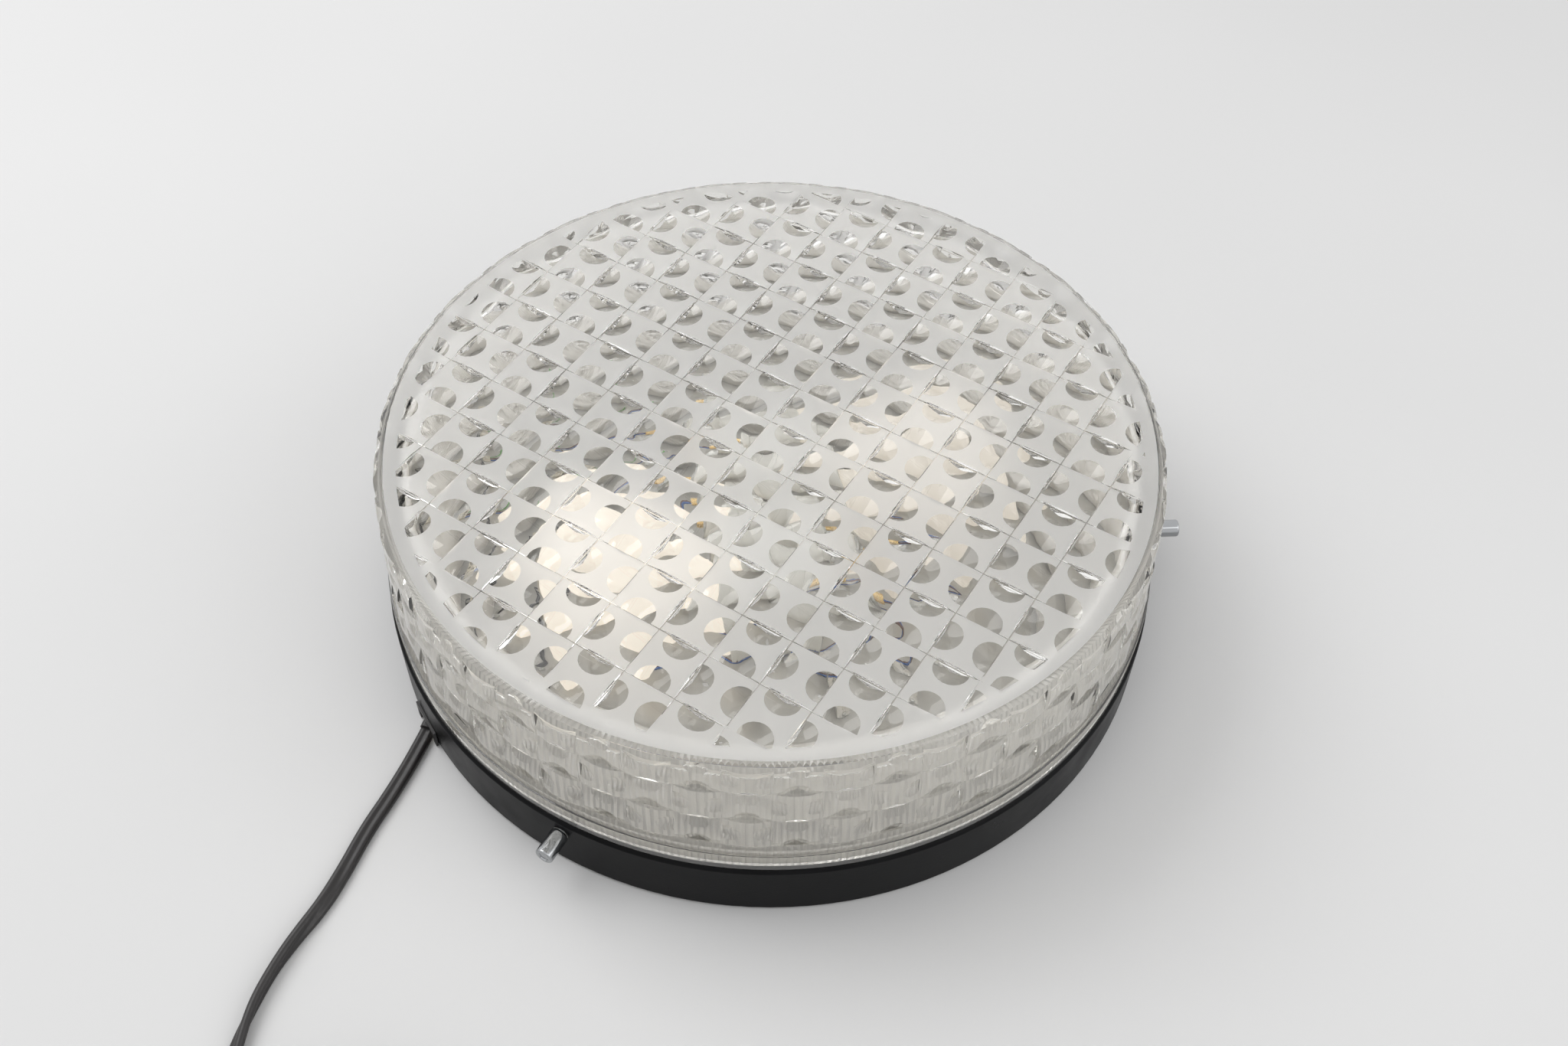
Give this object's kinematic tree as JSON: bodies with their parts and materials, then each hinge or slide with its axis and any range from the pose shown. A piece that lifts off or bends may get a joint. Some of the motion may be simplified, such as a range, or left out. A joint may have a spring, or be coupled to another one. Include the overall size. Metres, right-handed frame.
{
  "type": "ceiling light",
  "caption": "Round flush ceiling light with a pressed-glass drum shade, a black sheet-steel pan, thumb screws, lamp holders with bulbs, and a mains lead with a plug.",
  "frame": {"origin": "centre of the cable inlet in the pan's back face, which lies against the ceiling", "axes": "+Z away from the ceiling, towards the glass; +X and -X along the bulbs; the ceiling slots lie along Y"},
  "size_m": [0.3468, 0.4735, 0.088],
  "materials": {
    "black_enamel": "satin",
    "pressed_glass": "polished relief with satin pads",
    "polished_chrome": "polished",
    "zinc_steel": "zinc plated",
    "brass": "bright",
    "white_nylon": "matte",
    "porcelain": "glazed",
    "terminal_plastic": "matte",
    "bulb_glass": "thin and clear",
    "cap_metal": "bright",
    "dark_glass": "opaque",
    "tungsten": "dark",
    "black_flex": "satin",
    "black_plastic": "satin",
    "brown_wire": "satin",
    "blue_wire": "satin",
    "earth_wire": "satin"
  },
  "bodies": {
    "base": {"base_pan": "black_enamel", "screw_bushes": "brass", "holder_bracket_1": "zinc_steel", "holder_body_1": "porcelain", "holder_shell_1": "brass", "holder_contact_1": "brass", "holder_nipple_1": "brass", "holder_bracket_2": "zinc_steel", "holder_body_2": "porcelain", "holder_shell_2": "brass", "holder_contact_2": "brass", "holder_nipple_2": "brass", "holder_nuts": "brass", "bracket_screws": "zinc_steel", "terminal_block": "terminal_plastic", "terminal_inserts": "brass", "terminal_screws": "zinc_steel", "terminal_fixing_screw": "zinc_steel", "earth_washer": "brass", "earth_screw": "brass", "live_wires": "brown_wire", "neutral_wires": "blue_wire", "earth_wire": "earth_wire", "cord_clamp": "terminal_plastic", "cord_clamp_screws": "zinc_steel", "cord_bush": "black_flex", "cord_tail": "black_flex", "cord_lead": "black_flex", "cord_coil": "black_flex", "cord_end": "black_flex", "cord_tie": "black_plastic", "plug_body": "black_plastic", "plug_pins": "brass"},
    "glass": {"glass_shade": "pressed_glass"},
    "screw_1": {"thumb_screw_1": "polished_chrome", "screw_tip_1": "white_nylon"},
    "screw_2": {"thumb_screw_2": "polished_chrome", "screw_tip_2": "white_nylon"},
    "screw_3": {"thumb_screw_3": "polished_chrome", "screw_tip_3": "white_nylon"},
    "bulb_tip_1": {"bulb_contact_1": "brass"},
    "bulb_1": {"bulb_glass_1": "bulb_glass", "bulb_cap_1": "cap_metal", "bulb_insulator_1": "dark_glass", "bulb_stem_1": "bulb_glass", "bulb_filament_1": "tungsten"},
    "bulb_tip_2": {"bulb_contact_2": "brass"},
    "bulb_2": {"bulb_glass_2": "bulb_glass", "bulb_cap_2": "cap_metal", "bulb_insulator_2": "dark_glass", "bulb_stem_2": "bulb_glass", "bulb_filament_2": "tungsten"}
  },
  "joints": [
    {"name": "glass_lift", "type": "slide", "parent": "base", "child": "glass", "axis": [0, 0, 1], "range_m": [0, 0.09]},
    {"name": "screw_1_travel", "type": "slide", "parent": "base", "child": "screw_1", "axis": [-0.4802, -0.8771, 0], "range_m": [0, 0.0056]},
    {"name": "screw_2_travel", "type": "slide", "parent": "base", "child": "screw_2", "axis": [0.998, 0.0628, 0], "range_m": [-0.0051, 0.0005]},
    {"name": "screw_3_travel", "type": "slide", "parent": "base", "child": "screw_3", "axis": [-0.5358, 0.8443, 0], "range_m": [0, 0.0056]},
    {"name": "bulb_1_travel", "type": "slide", "parent": "base", "child": "bulb_tip_1", "axis": [-1, 0, 0], "range_m": [0, 0.0182]},
    {"name": "bulb_1_turn", "type": "hinge", "parent": "bulb_tip_1", "child": "bulb_1", "pos_m": [0, -0.028, 0.042], "axis": [-1, 0, 0], "range_deg": [0, 1800]},
    {"name": "bulb_2_travel", "type": "slide", "parent": "base", "child": "bulb_tip_2", "axis": [1, 0, 0], "range_m": [0, 0.0182]},
    {"name": "bulb_2_turn", "type": "hinge", "parent": "bulb_tip_2", "child": "bulb_2", "pos_m": [0, 0.028, 0.042], "axis": [1, 0, 0], "range_deg": [0, 1800]}
  ],
  "couplings": [
    {"joint": "bulb_1_travel", "follows": "bulb_1_turn", "m_per_rad": 0.00057757},
    {"joint": "bulb_2_travel", "follows": "bulb_2_turn", "m_per_rad": 0.00057757}
  ]
}
